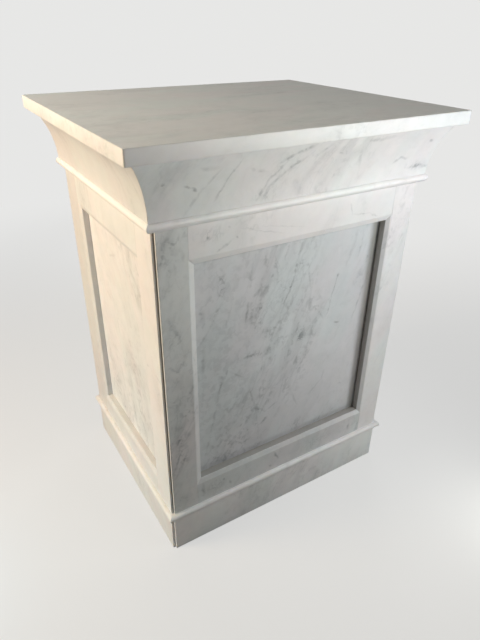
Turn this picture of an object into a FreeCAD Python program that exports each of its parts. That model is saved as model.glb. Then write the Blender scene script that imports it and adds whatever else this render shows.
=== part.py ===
import FreeCAD, Part

# Pedestal built up from white marble slabs, as a stone shop builds it.
#
# From the floor up: a skirt of four boards, a bead strip all round, a box whose four
# sides are stile and rail frames with a panel set back behind each, a second bead strip,
# a hollow-curved cornice (the coves) and the top slab. Everything is glued round four
# hardwood posts that stand on a plywood board in the foot and carry another under the top.
#
# The origin is the middle of the footprint on the floor. +Z is up, and the wide face
# that is looked at is turned towards -Y. Lengths are in millimetres.

import os
from FreeCAD import Vector

# ---- Box ----------------------------------------------------------------------------
BODY_WIDTH = 710.0            # over the stile faces, left to right
BODY_DEPTH = 576.0            # over the stile faces, front to back
BODY_HEIGHT = 771.0
SLAB = 20.0                   # thickness of every slab in the box, beads and skirt
QUIRK = 6.5                   # square notch left down each corner where two slabs mitre
ARRIS = 0.8                   # the notch's outer edges are eased by this much

# ---- Frames and panels --------------------------------------------------------------
FRONT_STILE = 74.5            # corner of the box to the panel opening, front and back
FRONT_RAIL_TOP = 73.0
FRONT_RAIL_BOTTOM = 69.0
SIDE_STILE = 87.0             # the same on the two narrow sides
SIDE_RAIL_TOP = 78.0
SIDE_RAIL_BOTTOM = 55.0
BEVEL_WIDTH = 13.5            # slope round each opening, seen from straight in front
BEVEL_DEPTH = 5.0             # how far the slope runs in before the square edge
PANEL = 20.0                  # panel thickness
PANEL_LAP = 28.0              # how far a panel runs up and down behind its rails
PANEL_CLEARANCE = 1.0         # a panel's edge to the posts beside it
FRONT_SETBACK = 12.0          # spacer between frame and panel, front and back only
SPACER_GROOVE = 8.0           # a spacer stops this far short of the opening's edge

# ---- Mouldings ----------------------------------------------------------------------
BEAD = 19.0                   # bead strips are polished down from slab thickness
UPPER_BEAD_NOSE = 15.0        # past the faces of the box
LOWER_BEAD_NOSE = 11.0
COVE_HEIGHT = 119.0
COVE_FOOT = 9.0               # past the faces of the box, on the upper bead
COVE_HEAD = 46.0              # past the faces of the box, under the top
TOP_THICKNESS = 30.0
TOP_OVERHANG = 63.0           # past the faces of the box
TOP_ARRIS = 1.5
SKIRT_HEIGHT = 112.0
SKIRT_STEP = 2.0              # the skirt stands this far outside the box

# ---- Inside -------------------------------------------------------------------------
POST = 40.0                   # square hardwood post in each corner
BOARD = 18.0                  # plywood

# ---- Courses, from the floor up -----------------------------------------------------
Z_LOWER_BEAD = SKIRT_HEIGHT
Z_BODY = Z_LOWER_BEAD + BEAD
Z_UPPER_BEAD = Z_BODY + BODY_HEIGHT
Z_COVE = Z_UPPER_BEAD + BEAD
Z_TOP = Z_COVE + COVE_HEIGHT

ROOM = 10.0                   # how far a cutting block reaches past what it trims


class Side:
    """One side of the pedestal, drawn as if it were the front one and then turned.

    reach is from the middle out to the face of the box and half is half its width;
    ends names what lies at its left and right as seen from outside.
    """

    def __init__(self, name, turn, reach, half, stile, rails, setback, ends):
        self.name = name
        self.turn = turn
        self.reach = reach
        self.half = half
        self.opening = half - stile
        self.z_low = Z_BODY + rails[0]
        self.z_high = Z_UPPER_BEAD - rails[1]
        self.setback = setback
        self.ends = ends

    def at(self, x, depth, z=0.0):
        """A point: along the side, in behind the face of the box, above the floor."""
        return Vector(x, depth - self.reach, z)

    def turned(self, shape):
        """The shape moved from the front to where this side is."""
        return shape.rotated(Vector(0, 0, 0), Vector(0, 0, 1), self.turn)


FRONT_RAILS = (FRONT_RAIL_BOTTOM, FRONT_RAIL_TOP)
SIDE_RAILS = (SIDE_RAIL_BOTTOM, SIDE_RAIL_TOP)
HALF_W = BODY_WIDTH / 2
HALF_D = BODY_DEPTH / 2

SIDES = [
    Side("front", 0, HALF_D, HALF_W, FRONT_STILE, FRONT_RAILS, FRONT_SETBACK, ("left", "right")),
    Side("right", 90, HALF_W, HALF_D, SIDE_STILE, SIDE_RAILS, 0.0, ("front", "back")),
    Side("back", 180, HALF_D, HALF_W, FRONT_STILE, FRONT_RAILS, FRONT_SETBACK, ("right", "left")),
    Side("left", 270, HALF_W, HALF_D, SIDE_STILE, SIDE_RAILS, 0.0, ("back", "front")),
]


# ---- Shapes that repeat -------------------------------------------------------------
def block(side, x0, x1, d0, d1, z0, z1):
    """A square-edged block on a side."""
    low = side.at(x0, d0, z0)
    return Part.makeBox(x1 - x0, d1 - d0, z1 - z0, low)


def prism(points, along):
    """The closed outline through these points, carried straight along a vector."""
    outline = Part.makePolygon(points + points[:1])
    return Part.Face(outline).extrude(along)


def upright(side, plan, z0, z1):
    """A plan of (x, depth) points raised from z0 to z1."""
    return prism([side.at(x, d, z0) for x, d in plan], Vector(0, 0, z1 - z0))


def moulding(side, edges, depths):
    """A profile drawn at x = 0 and run along the side, mitred to its two neighbours.

    A mitre is the upright plane at 45 degrees through the corner of the box, so a point
    at some depth behind the face lies that much nearer to the middle at both ends.
    """
    outer, inner = depths[0] - ROOM, depths[1] + ROOM
    long_half = side.half - outer
    short_half = side.half - inner
    run = Part.Face(Part.Wire(edges))
    run.translate(Vector(-long_half, 0, 0))
    run = run.extrude(Vector(2 * long_half, 0, 0))
    plan = [(-long_half, outer), (long_half, outer), (short_half, inner), (-short_half, inner)]
    mitres = upright(side, plan, run.BoundBox.ZMin - ROOM, run.BoundBox.ZMax + ROOM)
    return run.common(mitres).Solids[0]


def line(a, b):
    return Part.LineSegment(a, b).toShape()


# ---- Frames and panels --------------------------------------------------------------
def stile(side, hand):
    """Upright of a frame, hand -1 for the left one and +1 for the right one.

    The corner end is a quirk mitre: a square return first, then 45 degrees. Along the
    opening the slab keeps a bevelled lip, whose two ends mitre with the lips of the rails.
    """
    corner, lip = side.half, side.opening - BEVEL_WIDTH
    plan = [
        (side.opening, 0.0),
        (corner - QUIRK - ARRIS, 0.0),
        (corner - QUIRK, ARRIS),
        (corner - QUIRK, QUIRK),
        (corner - SLAB, SLAB),
        (side.opening, SLAB),
    ]
    slab = upright(side, [(hand * x, d) for x, d in plan], Z_BODY, Z_UPPER_BEAD)
    section = [(side.opening, 0.0), (side.opening, SLAB), (lip, SLAB), (lip, BEVEL_DEPTH)]
    edge = upright(side, [(hand * x, d) for x, d in section], side.z_low, side.z_high)
    for z, turn in ((side.z_low, 1), (side.z_high, -1)):
        waste = [
            side.at(hand * side.opening, 0.0, z),
            side.at(hand * lip, 0.0, z),
            side.at(hand * lip, 0.0, z + turn * BEVEL_WIDTH),
        ]
        edge = edge.cut(prism(waste, Vector(0, SLAB, 0)))
    return slab.fuse(edge).removeSplitter().Solids[0]


def rail(side, z_edge, z_far):
    """Cross piece of a frame between the stiles, from the opening at z_edge to z_far."""
    z0, z1 = sorted((z_edge, z_far))
    slab = block(side, -side.opening, side.opening, 0.0, SLAB, z0, z1)
    z_lip = z_edge + (BEVEL_WIDTH if z_far < z_edge else -BEVEL_WIDTH)
    section = [(0.0, z_edge), (SLAB, z_edge), (SLAB, z_lip), (BEVEL_DEPTH, z_lip)]
    edge = prism([side.at(-side.opening, d, z) for d, z in section], Vector(2 * side.opening, 0, 0))
    for hand in (-1, 1):
        waste = [
            side.at(hand * side.opening, 0.0, z_edge),
            side.at(hand * side.opening, 0.0, z_lip),
            side.at(hand * (side.opening - BEVEL_WIDTH), 0.0, z_lip),
        ]
        edge = edge.cut(prism(waste, Vector(0, SLAB, 0)))
    return slab.fuse(edge).removeSplitter().Solids[0]


def panel_edges(side):
    """Half width, lowest and highest edge of a side's panel."""
    half = side.half - SLAB - POST - PANEL_CLEARANCE
    lap = PANEL_LAP - BEVEL_WIDTH
    return half, side.z_low - lap, side.z_high + lap


def panel(side):
    half, z0, z1 = panel_edges(side)
    depth = SLAB + side.setback
    return block(side, -half, half, depth, depth + PANEL, z0, z1)


def spacers(side):
    """Four strips that hold the panel off the frame, kept back from the opening."""
    half, z0, z1 = panel_edges(side)
    clear = side.opening - BEVEL_WIDTH + SPACER_GROOVE
    z_in0 = side.z_low + BEVEL_WIDTH - SPACER_GROOVE
    z_in1 = side.z_high - BEVEL_WIDTH + SPACER_GROOVE
    d0, d1 = SLAB, SLAB + side.setback
    return {
        side.ends[0]: block(side, -half, -clear, d0, d1, z0, z1),
        side.ends[1]: block(side, clear, half, d0, d1, z0, z1),
        "bottom": block(side, -clear, clear, d0, d1, z0, z_in0),
        "top": block(side, -clear, clear, d0, d1, z_in1, z1),
    }


# ---- Mouldings ----------------------------------------------------------------------
def bead(side, nose, z):
    """Strip with a full round nose, laid on the slabs below."""
    radius = BEAD / 2
    top_in, top_out = side.at(0, SLAB, z + BEAD), side.at(0, radius - nose, z + BEAD)
    low_in, low_out = side.at(0, SLAB, z), side.at(0, radius - nose, z)
    tip = side.at(0, -nose, z + radius)
    edges = [
        line(low_in, low_out),
        Part.Arc(low_out, tip, top_out).toShape(),
        line(top_out, top_in),
        line(top_in, low_in),
    ]
    return moulding(side, edges, (-nose, SLAB))


def cove(side):
    """Cornice block. Its hollow is one arc that leaves the bead upright at the foot."""
    out = COVE_HEAD - COVE_FOOT
    radius = (COVE_HEIGHT ** 2 + out ** 2) / (2 * out)
    rise = COVE_HEIGHT / 2
    halfway = COVE_FOOT + radius - (radius ** 2 - rise ** 2) ** 0.5
    foot, head = side.at(0, -COVE_FOOT, Z_COVE), side.at(0, -COVE_HEAD, Z_TOP)
    back_low, back_high = side.at(0, SLAB, Z_COVE), side.at(0, SLAB, Z_TOP)
    edges = [
        line(back_low, foot),
        Part.Arc(foot, side.at(0, -halfway, Z_COVE + rise), head).toShape(),
        line(head, back_high),
        line(back_high, back_low),
    ]
    return moulding(side, edges, (-COVE_HEAD, SLAB))


def skirt(side):
    """Board round the foot, quirk mitred like the stiles."""
    half = side.half + SKIRT_STEP
    right = [
        (half - QUIRK - ARRIS, 0.0),
        (half - QUIRK, ARRIS),
        (half - QUIRK, QUIRK),
        (half - SLAB, SLAB),
    ]
    plan = right + [(-x, d) for x, d in reversed(right)]
    return upright(side, [(x, d - SKIRT_STEP) for x, d in plan], 0.0, SKIRT_HEIGHT)


def top_slab():
    width = BODY_WIDTH + 2 * TOP_OVERHANG
    depth = BODY_DEPTH + 2 * TOP_OVERHANG
    slab = Part.makeBox(width, depth, TOP_THICKNESS, Vector(-width / 2, -depth / 2, Z_TOP))
    return slab.makeChamfer(TOP_ARRIS, slab.Edges)


# ---- Inside -------------------------------------------------------------------------
def board(inset, z):
    """Plywood board, its edges this far inside the faces of the box."""
    width, depth = BODY_WIDTH - 2 * inset, BODY_DEPTH - 2 * inset
    return Part.makeBox(width, depth, BOARD, Vector(-width / 2, -depth / 2, z))


def post(x_sign, y_sign):
    """Hardwood post from the foot board to the board under the top."""
    x = x_sign * (HALF_W - SLAB - POST / 2) - POST / 2
    y = y_sign * (HALF_D - SLAB - POST / 2) - POST / 2
    return Part.makeBox(POST, POST, Z_TOP - 2 * BOARD, Vector(x, y, BOARD))


# ---- The whole pedestal -------------------------------------------------------------
nodes = {"top_slab": top_slab()}
for side in SIDES:
    own = {
        "skirt_" + side.name: skirt(side),
        "lower_bead_" + side.name: bead(side, LOWER_BEAD_NOSE, Z_LOWER_BEAD),
        "upper_bead_" + side.name: bead(side, UPPER_BEAD_NOSE, Z_UPPER_BEAD),
        "cove_" + side.name: cove(side),
        side.name + "_stile_" + side.ends[0]: stile(side, -1),
        side.name + "_stile_" + side.ends[1]: stile(side, 1),
        side.name + "_rail_bottom": rail(side, side.z_low, Z_BODY),
        side.name + "_rail_top": rail(side, side.z_high, Z_UPPER_BEAD),
        side.name + "_panel": panel(side),
    }
    if side.setback:
        for place, strip in spacers(side).items():
            own[side.name + "_spacer_" + place] = strip
    for name, shape in own.items():
        nodes[name] = side.turned(shape)

for y_sign, y_name in ((-1, "front"), (1, "back")):
    for x_sign, x_name in ((-1, "left"), (1, "right")):
        nodes["corner_post_" + y_name + "_" + x_name] = post(x_sign, y_sign)
nodes["foot_board"] = board(SLAB - SKIRT_STEP, 0.0)
nodes["top_board"] = board(SLAB, Z_TOP - BOARD)

os.makedirs("parts", exist_ok=True)
for name, shape in nodes.items():
    box = shape.BoundBox
    print("%-26s solids %d valid %s volume %9.1f cm3  %6.1f x %6.1f x %6.1f" % (
        name, len(shape.Solids), shape.isValid(), shape.Volume / 1000,
        box.XLength, box.YLength, box.ZLength))
    shape.exportStep("parts/" + name + ".step")
print(len(nodes), "pieces")
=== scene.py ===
# %% [markdown]
# # A panelled pedestal in veined white marble
#
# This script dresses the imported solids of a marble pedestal. The solids are already the
# right size and in the right place, so the work here is the finish: mouldings with a
# smooth hollow, edges that a hand has eased, stone that is veined all through, and the
# light that shows it. Everything is in metres. The origin is the middle of the footprint
# on the floor, +Z is up, and the wide face that the camera looks at is turned towards -Y.

# %% Load the frame
import math

import bmesh
import bpy
import numpy as np
from mathutils import Matrix, Vector


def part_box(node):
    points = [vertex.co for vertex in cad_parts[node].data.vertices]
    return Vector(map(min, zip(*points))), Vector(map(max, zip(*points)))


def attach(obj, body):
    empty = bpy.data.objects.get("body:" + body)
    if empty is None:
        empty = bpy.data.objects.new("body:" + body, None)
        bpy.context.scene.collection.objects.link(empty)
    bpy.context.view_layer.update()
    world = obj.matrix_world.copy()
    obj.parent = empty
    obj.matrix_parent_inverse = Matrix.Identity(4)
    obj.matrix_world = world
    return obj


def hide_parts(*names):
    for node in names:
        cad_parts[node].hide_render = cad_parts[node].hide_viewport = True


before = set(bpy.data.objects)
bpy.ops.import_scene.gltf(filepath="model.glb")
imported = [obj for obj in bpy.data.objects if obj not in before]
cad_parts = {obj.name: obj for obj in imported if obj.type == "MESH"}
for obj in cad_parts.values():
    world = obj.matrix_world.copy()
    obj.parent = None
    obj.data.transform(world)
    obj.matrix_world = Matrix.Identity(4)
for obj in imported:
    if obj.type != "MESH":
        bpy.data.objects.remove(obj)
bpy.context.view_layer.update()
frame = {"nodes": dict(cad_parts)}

nodes = frame["nodes"]

# %% [markdown]
# ## Sizes, read off the frame
#
# Nothing is measured twice. The faces of the box, the courses of the mouldings and the top
# come from the boxes of the solids, so the dressed pieces follow them if a size changes.

# %% The four sides
HALF_WIDTH = -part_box("left_rail_top")[0][0]
HALF_DEPTH = -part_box("front_rail_top")[0][1]
SLAB = 0.020                         # thickness of the slabs behind every face

SIDES = {                            # turn about Z, middle to face, half of the width
    "front": (0, HALF_DEPTH, HALF_WIDTH),
    "right": (90, HALF_WIDTH, HALF_DEPTH),
    "back": (180, HALF_DEPTH, HALF_WIDTH),
    "left": (270, HALF_WIDTH, HALF_DEPTH),
}
print("box %.3f x %.3f m over its faces" % (2 * HALF_WIDTH, 2 * HALF_DEPTH))


def facing(node):
    """Which way a slab's show face looks: its side's name is part of the node's name."""
    words = node.split("_")
    if words[0] in SIDES:
        return words[0]
    return words[-1] if words[-1] in SIDES else "top"


# %% [markdown]
# ## Mouldings
#
# A stone shop grinds a moulding as a long strip with one outline, and saws its ends at 45
# degrees to meet its neighbours. It could be swept with a curve and a bevel object. Here
# the strip is a surface of two numbers, one round the outline and one along the strip,
# because the mitre then costs nothing: a point that lies further out also runs further.
# The Bevel modifier takes off the sharp edges, as a few strokes of a rubbing stone do.

# %% A mesh from a grid of points
ARRIS = 0.0007                       # width of the eased edges
ARRIS_SEGMENTS = 2
SHARP = math.radians(28)             # edges that turn more than this are eased


def shell(name, grid):
    """A closed solid from a grid of points: rows run round an outline, columns along it.

    Row i joins row i + 1, the last row joins the first, and the two ends are flat.
    """
    rows, columns = grid.shape[:2]
    index = np.arange(rows * columns).reshape(rows, columns)
    below = np.roll(index, -1, axis=0)
    quads = np.stack([index[:, :-1], below[:, :-1], below[:, 1:], index[:, 1:]], -1)
    faces = quads.reshape(-1, 4).tolist() + [index[:, 0].tolist(), index[:, -1].tolist()]
    mesh = bpy.data.meshes.new(name)
    mesh.from_pydata(grid.reshape(-1, 3).tolist(), [], faces)
    solid = bmesh.new()
    solid.from_mesh(mesh)
    bmesh.ops.recalc_face_normals(solid, faces=solid.faces)
    solid.to_mesh(mesh)
    solid.free()
    mesh.shade_smooth()
    mesh.set_sharp_from_angle(angle=SHARP)
    for cap in mesh.polygons[-2:]:
        cap.use_smooth = False
    piece = bpy.data.objects.new(name, mesh)
    bpy.context.collection.objects.link(piece)
    return piece


def ease(piece):
    """Takes the sharp edges off a piece."""
    bevel = piece.modifiers.new("arris", "BEVEL")
    bevel.width = ARRIS
    bevel.segments = ARRIS_SEGMENTS
    bevel.limit_method = "ANGLE"
    bevel.angle_limit = SHARP
    bevel.harden_normals = True


def stand_for(piece, node):
    """The new piece takes the node's place, its body and its stone."""
    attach(piece, "root")
    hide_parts(node)
    nodes[node] = piece


# %% A strip between two mitres
STEP_ALONG = 0.02                    # grid step along a strip


def strip(name, side, outline):
    """An outline of (depth behind the face, height) points, carried along one side.

    Point (p, u) is at x = u (half - depth of p), y = depth of p - reach and z = height
    of p, for u from -1 to 1, and is then turned about Z to its side.
    """
    turn, reach, half = SIDES[side]
    depth, height = np.array(outline).T
    u = np.linspace(-1.0, 1.0, int(2 * half / STEP_ALONG) + 1)
    x = np.outer(half - depth, u)
    y = np.broadcast_to((depth - reach)[:, None], x.shape)
    z = np.broadcast_to(height[:, None], x.shape)
    cos, sin = math.cos(math.radians(turn)), math.sin(math.radians(turn))
    return shell(name, np.stack([x * cos - y * sin, x * sin + y * cos, z], -1))


# %% Coves and beads
COVE_FOOT = 0.009                    # how far the hollow's foot stands out past the box
COVE_STEPS = 40
NOSE_STEPS = 24


def cove_outline(reach_out, low, high):
    """The hollow is one arc, upright at its foot: out = foot + r (1 - cos a), up = r sin a."""
    out = reach_out - COVE_FOOT
    tall = high - low
    radius = (tall ** 2 + out ** 2) / (2 * out)
    a = np.linspace(0.0, math.asin(tall / radius), COVE_STEPS)
    depth = -COVE_FOOT - radius * (1 - np.cos(a))
    height = low + radius * np.sin(a)
    return [*zip(depth, height), (SLAB, high), (SLAB, low)]


def bead_outline(reach_out, low, high):
    """A full round nose: half a circle as tall as the strip, then straight back."""
    radius = (high - low) / 2
    a = np.linspace(-math.pi / 2, math.pi / 2, NOSE_STEPS)
    depth = radius - reach_out - radius * np.cos(a)
    height = low + radius + radius * np.sin(a)
    return [*zip(depth, height), (SLAB, high), (SLAB, low)]


COURSES = {                          # the outline of each course's strips
    "cove": cove_outline,
    "upper_bead": bead_outline,
    "lower_bead": bead_outline,
}


def course_piece(course, side):
    """One strip of a course: its heights and its reach come from the box of its solid."""
    node = course + "_" + side
    low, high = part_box(node)
    axis = 1 if side in ("front", "back") else 0
    reach_out = max(abs(low[axis]), abs(high[axis])) - SIDES[side][1]
    piece = strip("dressed_" + node, side, COURSES[course](reach_out, low[2], high[2]))
    ease(piece)
    stand_for(piece, node)


for side in SIDES:
    for course in COURSES:
        course_piece(course, side)
print(len(SIDES) * len(COURSES), "strips made")

# %% [markdown]
# ## The top
#
# The top is one slab with rubbed edges. Its surface is an outline that is carried round
# the slab: ring by ring it comes out over the eased edge, goes down the side and back in
# underneath. The long edges of a slab that people lean things on are never perfect, so
# the upper rings are pulled in a little at some seeded places, as small nicks.

# %% Top slab
TOP_ARRIS = 0.0016                   # radius of its eased edges
TOP_CORNER = 0.003                   # its upright corners, seen from above
ARRIS_STEPS = 5
SIDE_STEPS = 260                     # points along each side
QUARTERS = [(1, 1), (-1, 1), (-1, -1), (1, -1)]
NICKS = 26
NICK_SEED = 41
NICK_DEPTH = 0.0009
NICK_LENGTH = 0.0022
LEAST_NICK = 0.3                     # the smallest nick's size as a share of the largest
SIDE_SHARE = 0.985                   # further out than this share of the half size is a side


def slab_ring(half_x, half_y):
    """A rectangle with round corners, as a closed ring of points."""
    arcs = []
    for quarter, signs in enumerate(QUARTERS):
        a = np.linspace(0, math.pi / 2, ARRIS_STEPS) + quarter * math.pi / 2
        middle = np.array(signs) * (np.array([half_x, half_y]) - TOP_CORNER)
        arcs.append(middle + TOP_CORNER * np.stack([np.cos(a), np.sin(a)], -1))
    ring = []
    for arc, following in zip(arcs, arcs[1:] + arcs[:1]):
        share = np.linspace(0, 1, SIDE_STEPS)[1:-1, None]
        ring += [arc, arc[-1] + (following[0] - arc[-1]) * share]
    return np.concatenate(ring)


def nick_pull(outer, half):
    """How far each point of the upper edge is pulled in: a few small bells at seeded places."""
    rng = np.random.default_rng(NICK_SEED)
    at = outer[rng.integers(0, len(outer), NICKS)]
    size = rng.uniform(LEAST_NICK, 1.0, NICKS)
    far = np.linalg.norm(outer[:, None] - at[None], axis=-1)
    bite = (NICK_DEPTH * size * np.exp(-(far / (NICK_LENGTH * size)) ** 2)).sum(1)
    inward = -outer / half
    inward = np.where(np.abs(inward) > SIDE_SHARE, np.sign(inward), 0.0)
    return inward * bite[:, None]


def top_grid(low, high):
    """Rings at angle a round each eased edge: in by r (1 - sin a), down by r (1 - cos a)."""
    half = np.array(high[:2])
    a = np.linspace(0, math.pi / 2, ARRIS_STEPS)
    inset = TOP_ARRIS * (1 - np.sin(a))
    drop = TOP_ARRIS * (1 - np.cos(a))
    insets = np.concatenate([inset, inset[::-1]])
    heights = np.concatenate([high[2] - drop, low[2] + drop[::-1]])
    pull = nick_pull(slab_ring(*half), half)
    rings = []
    for number, (inner, z) in enumerate(zip(insets, heights)):
        near_top = max(0.0, 1.0 - number / ARRIS_STEPS)
        ring = slab_ring(*(half - inner)) + pull * near_top
        rings.append(np.column_stack([ring, np.full(len(ring), z)]))
    return np.stack(rings, 1)


top = shell("dressed_top_slab", top_grid(*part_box("top_slab")))
stand_for(top, "top_slab")
print("top slab", len(top.data.vertices), "points")

# %% [markdown]
# ## Frames, panels and skirt
#
# These slabs are flat, so the solids of the frame already have their shape. What they
# lack is the eased edge, which is what shows a joint: two slabs meet in a hair line with
# a tiny highlight on each side. Weld joins the loose triangles, and Bevel eases them.

# %% Ease the flat slabs
SAME_POINT = 1e-5                    # corners of triangles that are closer are one corner


def ease_solid(solid):
    """Joins a solid's loose triangles and takes its sharp edges off; its mesh stays."""
    weld = solid.modifiers.new("joined", "WELD")
    weld.merge_threshold = SAME_POINT
    ease(solid)


flat_slabs = [name for name, solid in nodes.items()
              if solid.data.materials and solid.data.materials[0].name == "white_marble"]
for name in flat_slabs:
    ease_solid(nodes[name])
print(len(flat_slabs), "flat slabs eased")

# %% [markdown]
# ## Shader maths as plain arithmetic
#
# A stone pattern is mostly arithmetic on noise, and hundreds of Math nodes are hard to
# read. The small class below wraps a socket, so that `1 - mask * 0.5` adds the Math nodes
# that do just that. Every other node comes from one method, `add`.


# %% Sockets that can be added up
class Value:
    """One output of a node tree. Arithmetic on it adds the Math node that does it."""

    def __init__(self, paint, socket):
        self.paint = paint
        self.socket = socket

    def maths(self, operation, *others):
        """The result of one Math node on this value and up to two others."""
        return self.paint.add("Math", {"operation": operation}, [self, *others])

    def __add__(self, other):
        return self.maths("ADD", other)

    __radd__ = __add__

    def __sub__(self, other):
        return self.maths("SUBTRACT", other)

    def __rsub__(self, other):
        return self.paint.add("Math", {"operation": "SUBTRACT"}, [other, self])

    def __mul__(self, other):
        return self.maths("MULTIPLY", other)

    __rmul__ = __mul__

    def __abs__(self):
        return self.maths("ABSOLUTE")

    def step(self, low, high, most=1.0):
        """0 below low, `most` above high and a smooth S between; low may be the larger one."""
        ends = {"Value": self, "From Min": low, "From Max": high, "To Max": most}
        return self.paint.add("MapRange", {"interpolation_type": "SMOOTHSTEP"}, ends)


class Paint:
    """The node tree of a material or a world, and the one way in which nodes get into it."""

    def __init__(self, owner):
        owner.use_nodes = True
        self.owner = owner
        self.tree = owner.node_tree
        self.tree.nodes.clear()

    def add(self, kind, settings=None, values=(), output=0):
        """One node: its type, its settings, then its sockets' values or links."""
        node = self.tree.nodes.new("ShaderNode" + kind)
        for name, value in (settings or {}).items():
            setattr(node, name, value)
        pairs = values.items() if isinstance(values, dict) else enumerate(values)
        for key, value in pairs:
            if isinstance(value, Value):
                self.tree.links.new(value.socket, node.inputs[key])
            else:
                node.inputs[key].default_value = value
        return Value(self, node.outputs[output])

    def place(self):
        """Where the shaded point is, in metres."""
        return self.add("TexCoord", output="Object")

    def vector(self, operation, first, second=(0, 0, 0), output=0):
        """Vector maths; the output "Value" is for a result that is one number."""
        return self.add("VectorMath", {"operation": operation}, [first, second], output)

    def mapped(self, place, turn=(0, 0, 0), shift=(0, 0, 0), scale=(1, 1, 1)):
        """The place seen from `shift`, turned back by `turn` and divided by the scale."""
        values = {"Vector": place, "Location": shift, "Rotation": turn, "Scale": scale}
        return self.add("Mapping", {"vector_type": "TEXTURE"}, values)

    def noise(self, place, scale, detail=3.0, rough=0.55, output="Fac"):
        """A soft noise round 0.5, with about `scale` features to the metre."""
        values = {"Vector": place, "Scale": scale, "Detail": detail, "Roughness": rough}
        return self.add("TexNoise", None, values, output)

    def ridge(self, place, scale, width):
        """1 on the lines where a noise crosses its middle value, 0 once it is `width` off it."""
        return abs(self.noise(place, scale) - 0.5).step(width, 0.0)

    def warped(self, place, scale, reach):
        """The place pushed about by up to `reach` metres by a noise."""
        push = self.noise(place, scale, 2.0, 0.5, "Color")
        centred = self.vector("SUBTRACT", push, (0.5, 0.5, 0.5))
        scaled = self.vector("MULTIPLY", centred, (2 * reach, 2 * reach, 2 * reach))
        return self.vector("ADD", place, scaled)

    def blend(self, share, first, second):
        """A mix of two colours, all first at share 0 and all second at 1."""
        values = {0: share, 6: first, 7: second}
        return self.add("Mix", {"data_type": "RGBA"}, values, 2)

    def out(self, shader, kind="Material"):
        """Makes a shader what the surface or the world shows."""
        end = self.tree.nodes.new("ShaderNodeOutput" + kind)
        self.tree.links.new(shader.socket, end.inputs["Surface"])
        return self.owner

    def solid(self, values):
        """A surface; values are the sockets of its shader."""
        return self.out(self.add("BsdfPrincipled", None, values))


def new_paint(name):
    """A new material with an empty node tree."""
    return Paint(bpy.data.materials.new(name))


def grey(level, warm=0.0):
    """A linear colour of this level; warm above 0 leans to cream, below 0 to blue."""
    return (level * (1 + warm), level, level * (1 - warm), 1.0)


# %% [markdown]
# ## The stone
#
# The stone is a white marble with soft grey smoke and short crinkled veins. On a real
# block these are bands of grey mineral, folded and squeezed while the rock was hot, so
# every slab shows them from another side. A picture wrapped round each slab would break
# at its edges. Here the pattern is solid: a function of the place in the block, cut by
# the surfaces as a saw cuts stone. A vein is where a noise crosses its middle value,
# which gives one thin wandering line. Pulling the noise out along the bedding makes the
# lines run one way. A slow noise gathers them in places, and a fast one breaks them up.
#
# The veins that catch the eye are put where the saw happened to meet them. A stroke runs
# from one point of the face to another with a width and a strength, a thread bends
# through several points, and a cluster is a soft oval that fills with crinkles. All are
# in millimetres, along the face and up. The noises of the stone bend them and break them
# up too, so that they sit in it like the rest.

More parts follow.
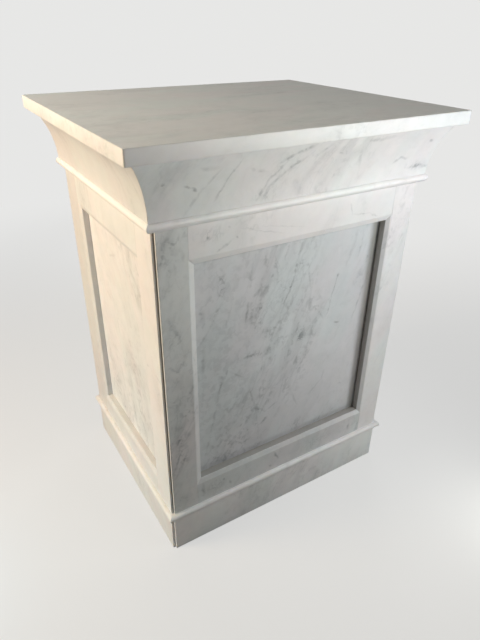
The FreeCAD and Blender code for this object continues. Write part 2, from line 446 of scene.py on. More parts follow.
# %% The marks that stand out
STROKES = {                          # from, to, width, strength; along and up, in mm
    "front_panel": [
        ((11, 696), (-14, 644), 6, 0.42),
        ((0, 630), (0, 627), 10, 0.60),        # round spot
        ((-116, 668), (-122, 621), 8, 0.36),
        ((-24, 600), (-40, 578), 8, 0.34),
        ((155, 684), (152, 676), 8, 0.55),
        ((153, 680), (140, 619), 5, 0.40),     # long thin vein, right of the middle
        ((140, 619), (131, 571), 5, 0.30),
        ((160, 540), (176, 537), 7, 0.45),
        ((204, 786), (179, 703), 15, 0.20),    # broad cool streaks, upper right
        ((226, 775), (216, 716), 9, 0.22),
        ((256, 655), (222, 528), 9, 0.26),
        ((-161, 687), (-176, 628), 8, 0.25),
        ((-127, 521), (-80, 524), 9, 0.32),
        ((-62, 292), (-50, 300), 12, 0.45),
        ((204, 320), (212, 318), 8, 0.40),
        ((-235, 645), (-240, 690), 16, 0.28),
        ((-237, 580), (-237, 520), 14, 0.24),
        ((38, 799), (23, 763), 11, 0.24),
        ((-7, 793), (-17, 762), 8, 0.24),
        ((-106, 768), (-112, 712), 9, 0.20),   # ring, upper left
        ((-44, 770), (-34, 715), 9, 0.22),
        ((-180, 720), (-190, 250), 230, 0.20), # painted shade: the whole left part is a little darker
    ],
    "front_stile_left": [
        ((-333, 262), (-304, 326), 9, 0.36),
        ((-345, 274), (-320, 332), 8, 0.32),
        ((-331, 360), (-317, 379), 9, 0.36),
        ((-316, 882), (-308, 862), 12, 0.20),
        ((-296, 852), (-291, 834), 10, 0.26),
        ((-332, 705), (-302, 640), 14, 0.20),
        ((-338, 592), (-308, 556), 8, 0.20),
        ((-325, 180), (-305, 150), 40, 0.16),
    ],
    "front_rail_top": [
        ((-216, 833), (-181, 852), 7, 0.42),
        ((-168, 856), (-166, 855), 6, 0.40),
        ((-236, 869), (-234, 867), 7, 0.36),
        ((-190, 881), (-187, 879), 6, 0.32),
        ((-160, 874), (-40, 840), 4, 0.16),
        ((-110, 870), (10, 846), 4, 0.14),
        ((139, 880), (147, 852), 5, 0.24),
        ((147, 852), (203, 845), 5, 0.24),
        ((203, 845), (230, 833), 6, 0.28),
    ],
    "front_rail_bottom": [
        ((-265, 196), (-262, 150), 12, 0.40),
        ((-203, 179), (-200, 176), 9, 0.42),
        ((-39, 191), (-24, 166), 10, 0.50),
        ((-53, 151), (-47, 148), 9, 0.30),
        ((236, 173), (237, 152), 10, 0.34),
        ((-182, 162), (-180, 150), 8, 0.26),
    ],
    "cove_front": [
        ((-337, 994), (-334, 993), 8, 0.50),
        ((-290, 982), (-276, 977), 6, 0.34),   # hook, near the left end
        ((-274, 976), (-267, 971), 8, 0.52),
        ((-179, 1021), (-200, 985), 6, 0.32),  # the two long slanting strokes
        ((-200, 985), (-226, 944), 7, 0.38),
        ((-219, 1006), (-250, 975), 8, 0.24),
        ((-250, 975), (-290, 926), 7, 0.18),
        ((-262, 1013), (-224, 1010), 10, 0.24),
        ((-151, 996), (-146, 995), 8, 0.30),
        ((-131, 992), (-121, 990), 7, 0.26),
        ((66, 1006), (73, 1004), 7, 0.26),
        ((339, 1007), (347, 1004), 8, 0.38),
        ((125, 1015), (138, 960), 10, 0.16),
    ],
    "cove_left": [
        ((-262, 1020), (-282, 960), 7, 0.16),
        ((-296, 1000), (-300, 932), 7, 0.20),
        ((-120, 1012), (-140, 985), 7, 0.14),
    ],
    "left_panel": [
        ((-28, 532), (-36, 508), 16, 0.22),
        ((48, 540), (40, 505), 14, 0.20),
        ((-66, 470), (-78, 440), 10, 0.18),
        ((-77, 430), (-79, 305), 7, 0.12),
        ((110, 600), (80, 592), 10, 0.18),
        ((60, 722), (0, 745), 8, 0.12),
        ((-95, 748), (-112, 730), 8, 0.18),
    ],
    "left_stile_front": [
        ((-195, 548), (-215, 558), 8, 0.18),
        ((-250, 552), (-275, 545), 8, 0.18),
    ],
}
THREADS = {                          # the corners of a thin bending vein, width, strength
    "front_panel": [
        ([(-194, 456), (-172, 500), (-125, 463)], 7, 0.22),
        ([(-184, 503), (-200, 420), (-224, 309), (-240, 256)], 9, 0.20),
        ([(-109, 429), (-85, 350), (-54, 326), (-15, 342), (2, 416)], 8, 0.24),
        ([(-197, 219), (-150, 262), (-122, 243), (-98, 254)], 8, 0.32),
        ([(-181, 703), (-224, 629), (-240, 603)], 8, 0.24),
        ([(18, 716), (-5, 663), (-18, 623)], 7, 0.28),
        ([(142, 389), (136, 363), (90, 323)], 8, 0.20),
        ([(25, 369), (58, 296)], 8, 0.18),
        ([(51, 749), (71, 649)], 8, 0.20),
        ([(90, 603), (123, 563)], 7, 0.18),
    ],
    "cove_front": [
        ([(-14, 1031), (-48, 1020), (-84, 1003)], 11, 0.36),
        ([(-20, 1008), (-62, 985), (-100, 955), (-112, 935)], 9, 0.38),
        ([(-70, 1000), (-104, 968), (-128, 930)], 8, 0.30),
        ([(30, 1026), (8, 1012)], 8, 0.24),
        ([(134, 1028), (170, 1024), (214, 1027)], 9, 0.30),
        ([(244, 962), (262, 972), (284, 968)], 8, 0.32),
        ([(294, 944), (330, 946), (366, 941)], 10, 0.42),
    ],
}
CLUSTERS = {                         # middle, half sizes, strength
    "front_panel": [
        ((-187, 739), (12, 36), 0.60),
        ((-85, 636), (38, 34), 0.50),
        ((42, 535), (27, 30), 0.62),
        ((28, 738), (18, 20), 0.40),
        ((-50, 572), (40, 22), 0.40),
        ((-84, 522), (60, 14), 0.35),
        ((55, 232), (34, 24), 0.35),
        ((-200, 225), (50, 18), 0.40),
        ((-20, 690), (60, 70), 0.22),
    ],
    "front_stile_left": [
        ((-322, 640), (28, 70), 0.25),
        ((-322, 320), (28, 60), 0.30),
    ],
    "front_rail_top": [((-232, 872), (46, 20), 0.24)],
    "front_rail_bottom": [
        ((-225, 166), (36, 28), 0.32),
        ((110, 164), (70, 26), 0.25),
    ],
    "cove_front": [
        ((-70, 990), (60, 44), 0.14),
        ((-106, 940), (34, 20), 0.30),
        ((20, 1005), (36, 26), 0.16),
        ((322, 947), (42, 16), 0.26),
    ],
}
for kind, marks in (("strokes", STROKES), ("threads", THREADS), ("clusters", CLUSTERS)):
    print(sum(len(own) for own in marks.values()), kind, "on", len(marks), "slabs")


# %% Marks on a face
MM = 0.001
SOFT_EDGE = (1.3, 0.1)               # a mark starts this far out and is full this far in
AXES = ((1, 0, 0), (0, 1, 0), (0, 0, 1))


def coordinate(paint, place, axis):
    """One coordinate of a place, as a number."""
    return paint.vector("DOT_PRODUCT", place, axis, "Value")


def flat_place(paint, place, side):
    """A place on a face as two numbers, along the face and up it."""
    along = AXES[0] if side in ("front", "back", "top") else AXES[1]
    up = AXES[1] if side == "top" else AXES[2]
    return paint.add("CombineXYZ", None, [coordinate(paint, place, axis) for axis in (along, up)])


def oval(paint, flat, middle, half, lean, strength):
    """A soft oval of this strength, with half sizes across and along its leaning axis."""
    near = paint.mapped(flat, (0, 0, lean), (*middle, 0), (*half, 1))
    return paint.vector("LENGTH", near, output="Value").step(*SOFT_EDGE, strength)


def stroke_marks(paint, flat, strokes):
    """The sum of the strokes: each is a soft oval laid from its start to its end."""
    total = 0.0
    for start, end, width, strength in strokes:
        start, end = np.array(start) * MM, np.array(end) * MM
        reach = end - start
        lean = math.atan2(reach[1], reach[0]) - math.pi / 2
        half = (width * MM / 2, (math.hypot(*reach) + width * MM) / 2)
        total = oval(paint, flat, (start + end) / 2, half, lean, strength) + total
    return total


def legs(threads):
    """Bending veins as strokes, one from each corner to the next."""
    return [(start, end, width, strength) for route, width, strength in threads
            for start, end in zip(route, route[1:])]


def cluster_marks(paint, flat, clusters):
    """The sum of the soft ovals that fill with crinkles."""
    total = 0.0
    for middle, half, strength in clusters:
        middle, half = np.array(middle) * MM, np.array(half) * MM
        total = oval(paint, flat, middle, half, 0, strength) + total
    return total


# %% [markdown]
# ## Dirt, worn edges and painted shade
#
# A stone piece that has stood for years is darker in the joints, where nobody wipes it.
# Deep in the notch down each corner, on the sawn edges round a panel and on the strips
# behind a frame, the darkening is painted shade. The slope round a panel gets a painted
# highlight on one stile and painted shade on the other. Along its edges small bruises
# show fresh, white crystals. All of this could be painted by hand. Here it comes from
# distances: to the nearest edge of the slab's box, and behind the faces of the pedestal.

# %% Distances on a slab
VEIN_AND_SHADE = grey(0.20, -0.07)             # the darkest part of a vein; also painted shade on a slope and on the panel's left part
DIRT_AND_SHADE = (0.15, 0.125, 0.085, 1.0)     # brown: dirt in the joints, and painted shade in the notch, on sawn edges and behind a frame
BRUISE_AND_HIGHLIGHT_WHITE = grey(0.86)             # where an edge is bruised the crystals are white; also the painted highlight on a slope
NOTCH = 0.0065                       # the square notch down each corner of the box
NOTCH_SHADE_SHARE = 0.72                   # share of painted shade deep in the notch
SLOPE_DEPTH = 0.005                  # how far the slope round a panel runs in
SAWN_EDGE_SHADE_SHARE = {"wide": 0.52, "narrow": 0.10}    # painted shade on sawn edges, by the kind of side


def edge_gap(paint, place, low, high):
    """How far a point of a box's skin is from the nearest edge of the box.

    The smallest of its distances a, b and c to the box's faces is nought, and the middle
    one is the answer: max(min(a, b), min(max(a, b), c)).
    """
    middle, half = [(np.array(high) + sign * np.array(low)) / 2 for sign in (1, -1)]
    offset = paint.vector("SUBTRACT", place, tuple(middle))
    inside = paint.vector("SUBTRACT", tuple(half), paint.vector("ABSOLUTE", offset))
    a, b, c = [coordinate(paint, inside, axis) for axis in AXES]
    return a.maths("MINIMUM", b).maths("MAXIMUM", a.maths("MAXIMUM", b).maths("MINIMUM", c))


def depths(paint, place):
    """How far a point lies behind the narrow sides' faces and behind the wide sides'."""
    x, y = [abs(coordinate(paint, place, axis)) for axis in AXES[:2]]
    return HALF_WIDTH - x, HALF_DEPTH - y


def on_slope(paint, place, side, share):
    """How much painted light and shade the slope round a panel gets: a little behind the face,
    not yet on the sawn edge.
    """
    behind_narrow, behind_wide = depths(paint, place)
    own = behind_wide if side in ("front", "back") else behind_narrow
    return own.step(0.1 * SLOPE_DEPTH, 0.3 * SLOPE_DEPTH, share)


def painted_recess_shade(paint, place, side):
    """Painted shade in the notch down each corner and on the sawn edges round a panel.

    Of a point's depths behind its two faces the larger is small only near a corner, and
    there the smaller one grows from 0 at the notch's rims. Round a panel the depth behind
    the slab's own face is more than the polished slope has.
    """
    behind_narrow, behind_wide = depths(paint, place)
    near = behind_narrow.maths("MAXIMUM", behind_wide).step(1.3 * NOTCH, 1.1 * NOTCH)
    deep = behind_narrow.maths("MINIMUM", behind_wide).step(0.35 * NOTCH, NOTCH)
    if side in ("front", "back"):
        own, share = behind_wide, SAWN_EDGE_SHADE_SHARE["wide"]
    else:
        own, share = behind_narrow, SAWN_EDGE_SHADE_SHARE["narrow"]
    sawn = own.step(SLOPE_DEPTH, 1.5 * SLOPE_DEPTH, share)
    return (deep * near * NOTCH_SHADE_SHARE).maths("MAXIMUM", sawn)


# %% Dirt, bruises and painted shade as colours
JOINT_REACH = 0.004                  # how far from an edge the joint's dirt goes
JOINT_PATCHES = 18.0                 # features to the metre, as in every noise
JOINT_SHARE = 0.14
BRUISE_REACH = 0.0028
BRUISE_PATCHES = 90.0
BRUISE_SHARE = 0.55
GROOVE_SHADE_SHARE = 0.60                  # share of painted shade on the strips behind a frame


def edge_wear(paint, place, node, colour):
    """Patchy dirt and small bruises along a slab's edges: the new colour, and the bruises."""
    gap = edge_gap(paint, place, *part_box(node))
    dirty = paint.noise(place, JOINT_PATCHES, 3.0).step(0.35, 0.70)
    chipped = paint.noise(place, BRUISE_PATCHES, 2.0).step(0.52, 0.66)
    joint = gap.step(JOINT_REACH, 0.0) * dirty
    bruise = gap.step(BRUISE_REACH, 0.0) * chipped
    colour = paint.blend(joint * JOINT_SHARE, colour, DIRT_AND_SHADE)
    return paint.blend(bruise * BRUISE_SHARE, colour, BRUISE_AND_HIGHLIGHT_WHITE), bruise


def frame_shading(paint, place, node, colour, slope):
    """Painted shade on frames and behind them; a slope above 0 gets a painted highlight, below 0
    painted shade.
    """
    if "spacer" in node:
        return paint.blend(GROOVE_SHADE_SHARE, colour, DIRT_AND_SHADE)
    if "stile" not in node and "rail" not in node:
        return colour
    if slope:
        slope_light_share = on_slope(paint, place, facing(node), abs(slope))
        colour = paint.blend(slope_light_share, colour, BRUISE_AND_HIGHLIGHT_WHITE if slope > 0 else VEIN_AND_SHADE)
    return paint.blend(painted_recess_shade(paint, place, facing(node)), colour, DIRT_AND_SHADE)


# %% [markdown]
# ## One slab of marble
#
# Each slab sees the same block from another place and at another angle. Its place is
# read in four ways: pulled out along the bedding, drawn out further for long strands,
# curled, and folded. Noises on these give the clouds, the mottling and the veins. A gate
# gathers the veins in some parts of the slab, and breaks interrupt them, because a real
# vein fades and comes back. A faint drift between a rosy and a cool white keeps the pale
# parts alive.

# %% The block's pattern
STRETCH = 2.4                        # how much longer than wide the pattern is
DRAWN = 3 * STRETCH
FOLD = 1.8
BEND = (6.0, 0.030)                  # four pushes: features to the metre, reach in metres
CURL = (40.0, 0.010)
SHIVER = (30.0, 0.008)
MARK_SHIVER = (60.0, 0.005)
CLOUDS = 5.0                         # from here on: features to the metre
GATES = 6.0
SMOKE_LINES = 9.0
STRANDS = 13.0
WISPS = 15.0
MOTTLES = 26.0
CRINKLES = 42.0
BREAKS = 60.0
FINE_CRINKLES = 64.0
CLOUD_SHARE = 0.06                   # from here on: how dark each makes the stone at most
MOTTLE_SHARE = 0.06
SMOKE_SHARE = 0.12
WISP_SHARE = 0.20
CRINKLE_SHARE = 0.13
STRAND_SHARE = 0.03
GATED_STRAND_SHARE = 0.07            # more of it where the gate is open
UNGATED = 0.25                       # share of a thin vein that a shut gate leaves
UNBROKEN = 0.45                      # share of a stroke that a break leaves
CLUSTER_HAZE = 0.14                  # how full a cluster is between its crinkles,
CLUSTER_CRINKLE = 0.40               # how much fuller at them,
CLUSTER_BROKEN_CRINKLE = 0.36        # and how much more where nothing breaks them


def seen_places(paint, place, turn, seed):
    """The place in the block, read in four ways; the seed picks where the slab was cut."""
    shift = tuple(np.random.default_rng(seed).uniform(-9.0, 9.0, 3))
    turned = tuple(math.radians(a) for a in turn)
    bent = paint.warped(place, *BEND)
    curled = paint.warped(place, *CURL)
    return {
        "bed": paint.mapped(bent, turned, shift, (1, 1, STRETCH)),
        "drawn": paint.mapped(bent, turned, shift, (1, 1, DRAWN)),
        "curled": curled,
        "folded": paint.mapped(curled, turned, shift, (1, 1, FOLD)),
    }


def common_pattern(paint, seen, breaks, smoke, veins):
    """How dark clouds, mottling and broad lines make the stone, and then its thin veins."""
    bed = seen["bed"]
    gate = paint.noise(bed, GATES, 2.0).step(0.47, 0.62)
    cloud = paint.noise(bed, CLOUDS, 4.0).step(0.38, 0.70)
    mottle = paint.noise(seen["curled"], MOTTLES, 4.0).step(0.30, 0.72)
    smoky = paint.ridge(bed, SMOKE_LINES, 0.12)
    wisp = paint.ridge(paint.warped(bed, *SHIVER), WISPS, 0.050)
    crinkle = paint.ridge(seen["folded"], CRINKLES, 0.065)
    strand = paint.ridge(seen["drawn"], STRANDS, 0.040)
    soft = cloud * CLOUD_SHARE + mottle * MOTTLE_SHARE + smoky * gate * SMOKE_SHARE
    lines = (wisp * WISP_SHARE + crinkle * CRINKLE_SHARE) * breaks
    lines = lines * (UNGATED + gate * (1 - UNGATED))
    long_lines = strand * (STRAND_SHARE + gate * GATED_STRAND_SHARE)
    return soft * smoke + (lines + long_lines) * veins


def own_marks(paint, place, node, seen, breaks):
    """How dark this slab's strokes, threads and clusters make it; 0 where it has none."""
    strokes = STROKES.get(node, []) + legs(THREADS.get(node, []))
    clusters = CLUSTERS.get(node, [])
    dark = 0.0
    if strokes or clusters:
        flat = flat_place(paint, paint.warped(place, *MARK_SHIVER), facing(node))
    if strokes:
        kept = UNBROKEN + breaks * (1 - UNBROKEN)
        dark = stroke_marks(paint, flat, strokes) * kept + dark
    if clusters:
        fine = paint.ridge(seen["folded"], FINE_CRINKLES, 0.075)
        broken = breaks * fine * CLUSTER_BROKEN_CRINKLE
        filled = CLUSTER_HAZE + fine * CLUSTER_CRINKLE + broken
        dark = cluster_marks(paint, flat, clusters) * filled + dark
    return dark


# %% Marble
ROSY = (1.012, 0.984, 1.004, 1.0)    # the two tints that wander through the white
COOL = (0.978, 1.004, 1.012, 1.0)
HUES = 8.0                           # features to the metre, as the next three
WEAR_PATCHES = 14.0
RIPPLES = 120.0
GRAINS = 900.0
SPARKLE = 0.05                       # how much the single grains lighten the stone
HONED = 0.37                         # roughness of the rubbed face where it is least worn
WORN_ROUGH = 0.10                    # how much rougher wear, veins and bruises make it
VEIN_ROUGH = 0.08
BRUISE_ROUGH = 0.15


def tinted(level, warm, tint):
    """The grey of this level and warmth, seen through a faint tint."""
    return tuple(a * b for a, b in zip(grey(level, warm), tint))


def marble(name, node, seed, turn, tone, smoke=1.0, veins=1.0, warm=0.012, slope=0.0):
    """Veined stone for one slab: turn lays the bedding, seed picks the place in the block."""
    paint = new_paint(name)
    place = paint.place()
    seen = seen_places(paint, place, turn, seed)
    breaks = paint.noise(seen["curled"], BREAKS, 2.0).step(0.42, 0.60)
    grain = paint.noise(place, GRAINS, 2.0)
    dark = common_pattern(paint, seen, breaks, smoke, veins)
    dark = (dark + own_marks(paint, place, node, seen, breaks)).maths("MINIMUM", 1.0)

    hue = paint.noise(seen["bed"], HUES, 3.0).step(0.36, 0.64)
    clear = paint.blend(hue, tinted(tone, warm, ROSY), tinted(tone, warm, COOL))
    colour = paint.blend(dark, clear, VEIN_AND_SHADE)
    colour = paint.blend(grain * SPARKLE, colour, (1, 1, 1, 1))
    colour, bruise = edge_wear(paint, place, node, colour)
    # painted shade in the notch, on sawn edges and behind frames, and painted light and shade on
    # the slopes
    colour = frame_shading(paint, place, node, colour, slope)

    worn = paint.noise(place, WEAR_PATCHES, 3.0)
    height = grain * 0.5 + paint.noise(place, RIPPLES, 2.0)
    bump = paint.add("Bump", None, {"Height": height, "Strength": 0.12, "Distance": 0.001})
    return paint.solid({
        "Base Color": colour,
        "Roughness": HONED + worn * WORN_ROUGH + dark * VEIN_ROUGH + bruise * BRUISE_ROUGH,
        "Normal": bump,
        "IOR": 1.50,
        "Subsurface Weight": 0.25,
        "Subsurface Radius": (1.0, 0.85, 0.70),
        "Subsurface Scale": 0.004,
    })


# %% [markdown]
# ## Every slab its own piece of the block
#
# A mason cuts the slabs of one job from one block, but no two slabs are alike. Here each
# gets its own seed, and slabs that face one way share the lie of the bedding. A few
# differ from the common run in tone, smoke and veins. Their tones were set to how bright
# each slab looked, so besides the stone's own tone they carry painted light and shade.

# %% Dress the slabs
BEDDING = {                          # turns of the bedding in degrees, by the way a face looks
    "front": (0, 22, 0),
    "back": (0, -30, 0),
    "left": (-20, 0, 0),
    "right": (15, 0, 0),
    "top": (0, 80, 12),
}
FIRST_SEED = 100
STONE = {"tone": 0.84}
OWN_STONE_AND_SHADE = {                        # slabs whose stone differs from the common run; their tones also carry painted light and shade
    "top_slab": {"tone": 0.92, "smoke": 0.7, "veins": 0.4},
    "cove_front": {"tone": 0.89, "veins": 0.5},
    "cove_left": {"tone": 0.78, "smoke": 0.8, "veins": 0.4},
    "upper_bead_front": {"tone": 0.92, "smoke": 0.6, "veins": 0.3},
    "upper_bead_left": {"tone": 0.92, "smoke": 0.4, "veins": 0.1},
    "lower_bead_front": {"tone": 0.94, "smoke": 0.6, "veins": 0.3},
    "lower_bead_left": {"tone": 0.90, "smoke": 0.6, "veins": 0.3},
    "front_rail_top": {"tone": 0.88, "smoke": 0.7, "veins": 0.4},
    # slope: a painted highlight on the left stile's slope, painted shade on the right one's
    "front_stile_left": {"tone": 0.79, "smoke": 1.2, "slope": 0.40},
    "front_stile_right": {"tone": 0.91, "smoke": 0.9, "veins": 0.7, "slope": -0.38},
    "front_panel": {"tone": 0.76, "veins": 0.9, "warm": -0.015},
    "front_rail_bottom": {"tone": 0.78, "smoke": 1.6, "veins": 1.0, "warm": 0.0},
    "skirt_front": {"tone": 0.94, "smoke": 0.8, "veins": 0.5},
    "skirt_left": {"tone": 0.87, "smoke": 0.8, "veins": 0.5},
    "left_panel": {"tone": 0.90, "smoke": 1.2, "veins": 0.9},
    "left_rail_top": {"tone": 0.87, "smoke": 0.8, "veins": 0.5},
    "left_rail_bottom": {"tone": 0.82, "smoke": 0.8, "veins": 0.5},
    "left_stile_front": {"tone": 0.88, "smoke": 0.7, "veins": 0.5},
    "left_stile_back": {"tone": 0.78, "smoke": 0.7, "veins": 0.5},
}


def dress(piece, material):
    """Gives a piece one material in place of those that it came with."""
    piece.data.materials.clear()
    piece.data.materials.append(material)


stone_nodes = flat_slabs + [n for n in nodes if nodes[n].name.startswith("dressed_")]
for number, name in enumerate(sorted(stone_nodes)):
    own = {**STONE, **OWN_STONE_AND_SHADE.get(name, {})}
    bedding = BEDDING[facing(name)]
    dress(nodes[name], marble("stone_" + name, name, FIRST_SEED + number, bedding, **own))
print(len(stone_nodes), "slabs dressed")


# %% [markdown]
# ## The wood inside
#
# Four hardwood posts and two plywood boards hold the stone. They are out of sight from
# above, but the piece can also be seen from below. Wood is solid too: a post
# shows its year rings as slightly bent cylinders cut by the saw, with fine fibres along
# it. Plywood is thin sheets, and every second one shows its end grain at the board's edge.

# %% Wood
BEECH_LIGHT = (0.56, 0.36, 0.20, 1.0)
BEECH_DARK = (0.36, 0.20, 0.10, 1.0)
PITH = (0.13, -0.21, 0.0)            # the middle of the tree, off to one side of every post
RING_WIDTH = 0.0035
VENEER_LIGHT = (0.62, 0.45, 0.27, 1.0)
VENEER_DARK = (0.33, 0.20, 0.11, 1.0)
VENEER = 0.002                       # thickness of one sheet
FIBRE_STRETCH = 40
GRAIN_BEND = (4.0, 0.008)            # features to the metre and reach, in metres
FIBRES = 900.0                       # features to the metre, as the next two
VENEER_FIBRES = 500.0
FIGURES = 22.0
FIGURE_STRETCH = 8
RING_SHARE = 0.35                    # how far rings, fibres, figure and end grain darken it
FIBRE_SHARE = 0.45
FIGURE_SHARE = 0.30
END_GRAIN_SHARE = 0.60


def wood(paint, colour, fibre):
    """A sawn, unvarnished face: dull, with the fibres standing up a little."""
    bump = paint.add("Bump", None, {"Height": fibre, "Strength": 0.3, "Distance": 0.001})
    return paint.solid({"Base Color": colour, "Roughness": 0.60 + fibre * 0.2, "Normal": bump})


def hardwood():
    """Rings are |sin| of the distance from the pith; fibres are a noise drawn out upwards."""
    paint = new_paint("hardwood")
    place = paint.place()
    bent = paint.warped(place, *GRAIN_BEND)
    upright = paint.mapped(bent, shift=PITH, scale=(1, 1, FIBRE_STRETCH))
    phase = paint.vector("LENGTH", upright, output="Value") * (math.pi / RING_WIDTH)
    ring = abs(phase.maths("SINE"))
    fibre = paint.noise(paint.mapped(place, scale=(1, 1, FIBRE_STRETCH)), FIBRES)
    colour = paint.blend(ring * RING_SHARE + fibre * FIBRE_SHARE, BEECH_LIGHT, BEECH_DARK)
    return wood(paint, colour, fibre)


def plywood(name, node):
    """Every second sheet has its fibres along the board; the others show their ends."""
    paint = new_paint(name)
    place = paint.place()
    level = coordinate(paint, place, AXES[2]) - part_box(node)[0][2]
    across = (level * (1 / VENEER)).maths("PINGPONG", 1.0).step(0.42, 0.58)
    fibre = paint.noise(paint.mapped(place, scale=(FIBRE_STRETCH, 1, 1)), VENEER_FIBRES)
    figure = paint.noise(paint.mapped(place, scale=(FIGURE_STRETCH, 1, 1)), FIGURES)
    share = fibre * FIBRE_SHARE + figure.step(0.40, 0.65) * FIGURE_SHARE
    colour = paint.blend(share, VENEER_LIGHT, VENEER_DARK)
    return wood(paint, paint.blend(across * END_GRAIN_SHARE, colour, VENEER_DARK), fibre)


beech = hardwood()
wooden = [name for name in nodes if name not in stone_nodes]
for name in wooden:
    dress(nodes[name], plywood("ply_" + name, name) if name.endswith("board") else beech)
print(len(wooden), "wooden pieces dressed")

# %% [markdown]
# ## Floor and surroundings
#
# A plain pale floor carries the piece and takes its shadow, and far off it turns into the
# backdrop, so no horizon shows. A large curved sheet of paper would do the same in a
# studio. The floor glows for the camera alone, and the backdrop is bright for the camera
# and in reflections, while the light that the surroundings give the stone is dim and
# cool. So both stay pale, and the lamps alone shape the stone.

# %% Floor and surroundings
BACKDROP = (0.80, 0.80, 0.79, 1.0)   # what the camera sees past the floor
FLOOR_SEEN = grey(0.80)
FLOOR_BOUNCE = grey(0.30)            # what it gives back to the stone
FLOOR_GLOW = 0.70                    # share of the backdrop's glow in the floor near the piece
FLOOR_FADE = (0.8, 3.0)              # over this distance the floor turns into backdrop
FLOOR_REACH = 9.0


def pale_floor():
    """A matt floor that takes the piece's shadow and turns into the backdrop further off.

    Only the camera sees its glow, so no light comes back from it to the stone.
    """
    paint = new_paint("pale_floor")
    far = paint.vector("LENGTH", paint.place(), output="Value").step(*FLOOR_FADE)
    seen = paint.add("LightPath", output="Is Camera Ray")
    matt = paint.add("BsdfDiffuse", None, {"Color": paint.blend(seen, FLOOR_BOUNCE, FLOOR_SEEN)})
    glow = paint.add("Emission", None, {"Color": BACKDROP})
    share = seen * (FLOOR_GLOW + far * (1 - FLOOR_GLOW))
    return paint.out(paint.add("MixShader", None, [share, matt, glow]))


def make_floor():
    """One square sheet, not attached to any body of the piece."""
    mesh = bpy.data.meshes.new("floor")
    r = FLOOR_REACH
    mesh.from_pydata([(-r, -r, 0), (r, -r, 0), (r, r, 0), (-r, r, 0)], [], [(0, 1, 2, 3)])
    mesh.materials.append(pale_floor())
    floor = bpy.data.objects.new("floor", mesh)
    bpy.context.collection.objects.link(floor)


AMBIENT = (0.90, 0.95, 1.0, 1.0)
AMBIENT_STRENGTH = 0.015


def make_world():
    """Dim cool light from all round; the camera, mirrors and glass see the pale backdrop."""
    world = bpy.data.worlds.new("surroundings")
    bpy.context.scene.world = world
    paint = Paint(world)
    rays = [paint.add("LightPath", output=kind + " Ray")
            for kind in ("Is Camera", "Is Glossy", "Is Transmission")]
    seen = rays[0].maths("MAXIMUM", rays[1]).maths("MAXIMUM", rays[2])
    light = paint.add("Background", None, [AMBIENT, AMBIENT_STRENGTH])
    back = paint.add("Background", None, [BACKDROP])
    paint.out(paint.add("MixShader", None, [seen, light, back]), "World")


make_floor()
make_world()
print("floor %.0f m wide" % (2 * FLOOR_REACH))

# %% [markdown]
# ## Light
#
# Soft boxes stand where the light of the photograph seems to come from. Two in front, up
# near the top and to the right, leave the lower left part of the wide face dim. One low
# on the right lifts the skirt. A warm one far to the left and a bigger one above it light
# the narrow face and the top, and a small cool one fills in near the floor. Two more
# stand behind, so that the sides that the photograph hides can be looked at as well.

# %% Lamps
LAMPS = {                            # place, target, size, power, colour
    "front": ((0.12, -0.95, 1.07), (0.0, -0.2, 0.7), 0.35, 2.6, (1.0, 0.99, 0.88)),
    "front_right": ((0.55, -0.85, 0.95), (0.0, -0.2, 0.7), 0.35, 2.65, (0.88, 0.93, 1.0)),
    "front_low": ((0.52, -0.74, 0.16), (0.20, -0.30, 0.06), 0.25, 0.62, (0.98, 1.0, 0.93)),
    "warm_left": ((-2.0, 0.35, 0.75), (-0.35, 0.0, 0.65), 0.5, 17.5, (1.0, 0.69, 0.43)),
    "low_left": ((-1.1, -0.1, 0.08), (-0.36, -0.05, 0.10), 0.3, 2.0, (0.40, 0.79, 1.0)),
    "behind_right": ((1.9, 1.9, 0.75), (0.0, 0.0, 0.55), 1.0, 27.0, (1.0, 0.99, 0.97)),
    "over_left": ((-1.5, 0.2, 1.75), (0.0, 0.0, 1.0), 0.8, 18.0, (1.0, 0.93, 0.73)),
    "low_behind": ((0.9, 2.0, 0.5), (0.1, 0.1, 0.5), 1.0, 12.0, (0.96, 0.98, 1.0)),
}
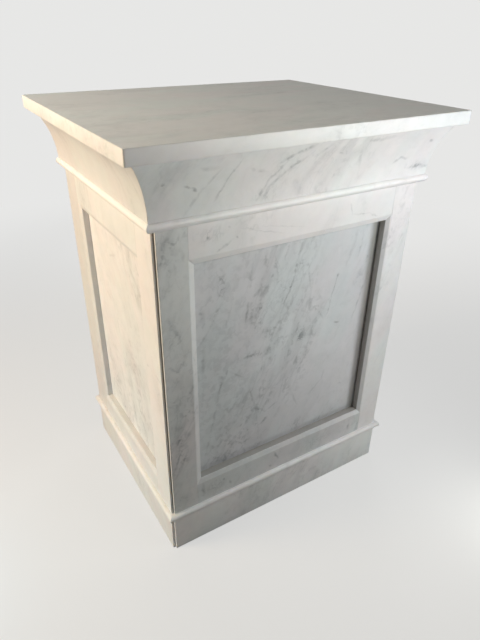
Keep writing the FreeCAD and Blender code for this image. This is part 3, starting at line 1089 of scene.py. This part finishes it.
NOT_MIRRORED = ("behind_right", "over_left")    # the top would show them as bright squares


def lamp(name, place, target, size, power, colour):
    """A square soft box at `place`, turned towards `target`."""
    data = bpy.data.lights.new(name, "AREA")
    data.size = size
    data.energy = power
    data.color = colour
    box = bpy.data.objects.new(name, data)
    box.location = place
    aim = Vector(target) - Vector(place)
    box.rotation_euler = aim.to_track_quat("-Z", "Y").to_euler()
    box.visible_camera = False
    box.visible_glossy = name not in NOT_MIRRORED
    bpy.context.collection.objects.link(box)


for name, facts in LAMPS.items():
    lamp(name, *facts)
print(len(LAMPS), "soft boxes")

# %% [markdown]
# ## Camera
#
# The camera stands where the photograph was taken from. Its place, turns and focal length
# were fitted to about thirty corners of the piece in the photograph. It is at chest height
# and slightly tilted, as a camera held by hand is.

# %% Camera
CAMERA_AT = Vector((-0.7060, -1.1626, 1.2540))
YAW, PITCH, ROLL = (math.radians(a) for a in (32.058, 30.086, 0.815))
FOCAL_PIXELS = 529.18                # focal length on the photograph's 480 x 640 frame
FRAME_HEIGHT = 640
SENSOR = 36.0


def make_camera():
    """Turned by YAW from +Y towards +X, dipped by PITCH and rolled by ROLL."""
    right = Vector((math.cos(YAW), -math.sin(YAW), 0))
    level = Vector((math.sin(YAW), math.cos(YAW), 0))
    ahead = level * math.cos(PITCH) - Vector((0, 0, math.sin(PITCH)))
    up = right.cross(ahead)
    rolled_right = right * math.cos(ROLL) + up * math.sin(ROLL)
    rolled_up = up * math.cos(ROLL) - right * math.sin(ROLL)
    data = bpy.data.cameras.new("camera")
    data.sensor_fit = "AUTO"
    data.sensor_width = SENSOR
    data.lens = FOCAL_PIXELS * SENSOR / FRAME_HEIGHT
    camera = bpy.data.objects.new("camera", data)
    turn = Matrix((rolled_right, rolled_up, -ahead)).transposed()
    camera.matrix_world = Matrix.Translation(CAMERA_AT) @ turn.to_4x4()
    bpy.context.collection.objects.link(camera)
    bpy.context.scene.camera = camera


make_camera()
bpy.context.scene.view_settings.view_transform = "Standard"
print("camera %.2f m up" % CAMERA_AT.z)
